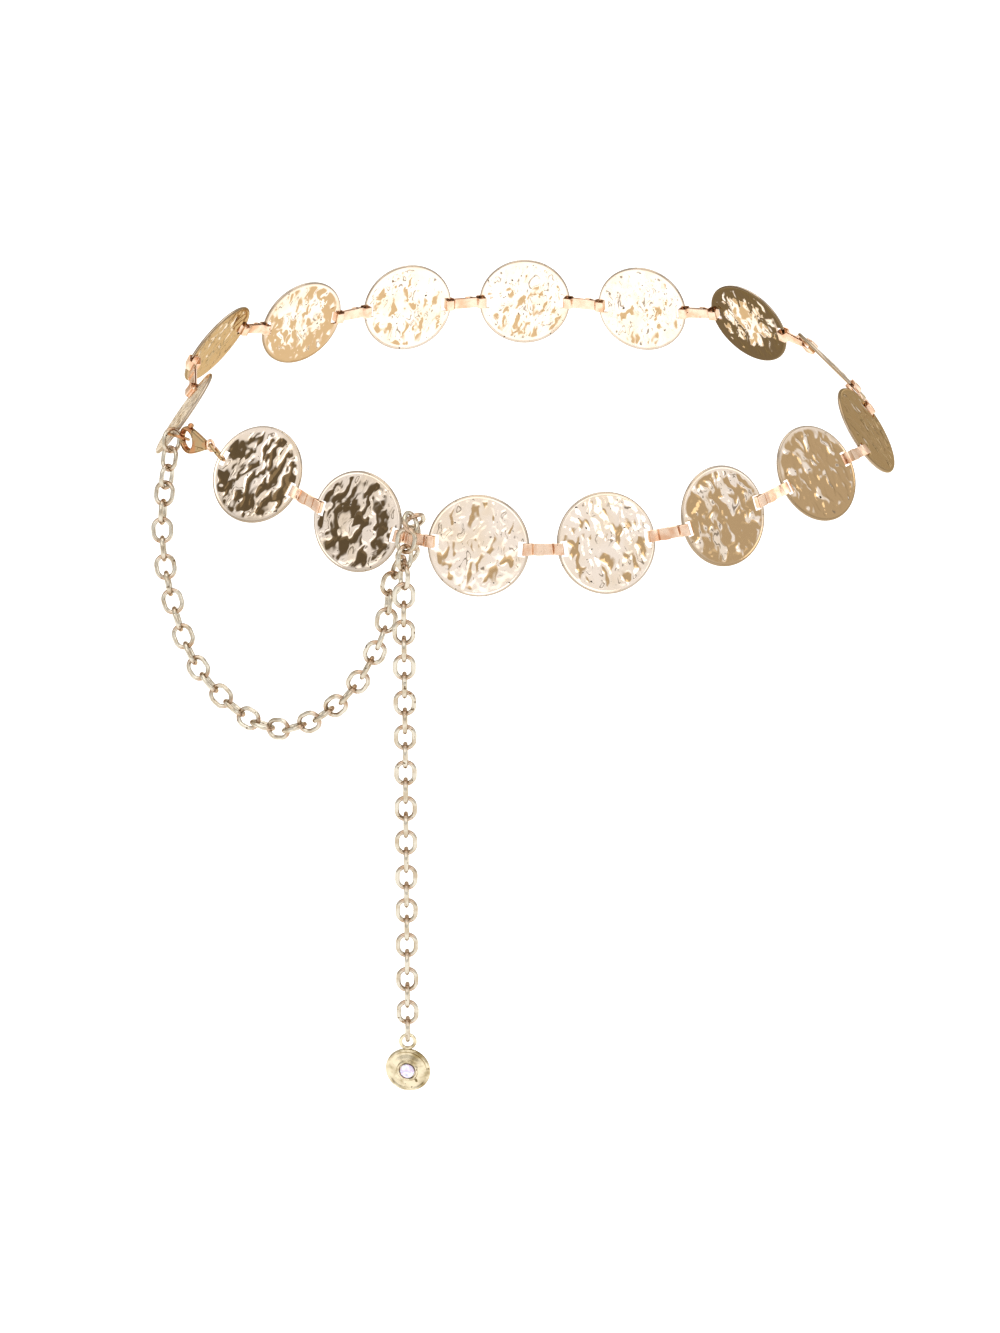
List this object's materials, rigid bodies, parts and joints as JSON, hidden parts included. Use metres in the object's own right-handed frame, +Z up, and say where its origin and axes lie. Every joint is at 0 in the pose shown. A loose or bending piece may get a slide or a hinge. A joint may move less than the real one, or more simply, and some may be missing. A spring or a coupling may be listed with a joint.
{
  "type": "chain belt",
  "caption": "Belt of hammered round metal discs joined by bent strips, with a lobster clasp and a long cable chain that ends in a stone-set pendant.",
  "frame": {"origin": "middle of the loop of discs, where the wearer's waist goes", "axes": "+Z up, -Y to the wearer's front, +X to the wearer's left; the chain hangs in front of the wearer's right hip"},
  "size_m": [0.3023, 0.2323, 0.2929],
  "materials": {
    "disc_metal": "hammered and polished, pale gold plate with dark tarnish in the dents",
    "strip_metal": "polished rose-gold plate",
    "clasp_metal": "polished pale gold plate",
    "chain_metal": "polished champagne plate, browned where the links cross",
    "pendant_metal": "polished pale gold plate",
    "stone": "smooth milky lavender cabochon"
  },
  "bodies": {
    "belt": {"disc_01": "disc_metal", "disc_02": "disc_metal", "disc_03": "disc_metal", "disc_04": "disc_metal", "disc_05": "disc_metal", "disc_06": "disc_metal", "disc_07": "disc_metal", "disc_08": "disc_metal", "disc_09": "disc_metal", "disc_10": "disc_metal", "disc_11": "disc_metal", "disc_12": "disc_metal", "disc_13": "disc_metal", "disc_14": "disc_metal", "disc_15": "disc_metal", "strip_01": "strip_metal", "strip_02": "strip_metal", "strip_03": "strip_metal", "strip_04": "strip_metal", "strip_05": "strip_metal", "strip_06": "strip_metal", "strip_07": "strip_metal", "strip_08": "strip_metal", "strip_09": "strip_metal", "strip_10": "strip_metal", "strip_11": "strip_metal", "strip_12": "strip_metal", "strip_13": "strip_metal", "strip_14": "strip_metal", "end_ring": "clasp_metal", "jump_ring": "clasp_metal", "clasp_body": "clasp_metal", "clasp_gate": "clasp_metal", "clasp_eye": "clasp_metal", "chain_01": "chain_metal", "chain_02": "chain_metal", "chain_03": "chain_metal", "chain_04": "chain_metal", "chain_05": "chain_metal", "chain_06": "chain_metal", "chain_07": "chain_metal", "chain_08": "chain_metal", "chain_09": "chain_metal", "chain_10": "chain_metal", "chain_11": "chain_metal", "chain_12": "chain_metal", "chain_13": "chain_metal", "chain_14": "chain_metal"},
    "pendant": {"pendant": "pendant_metal", "pendant_stone": "stone"}
  },
  "joints": [
    {"name": "pendant_swing", "type": "hinge", "parent": "belt", "child": "pendant", "pos_m": [-0.0475, -0.1084, -0.23126], "axis": [0, 1, 0], "range_deg": [-70, 70]}
  ]
}
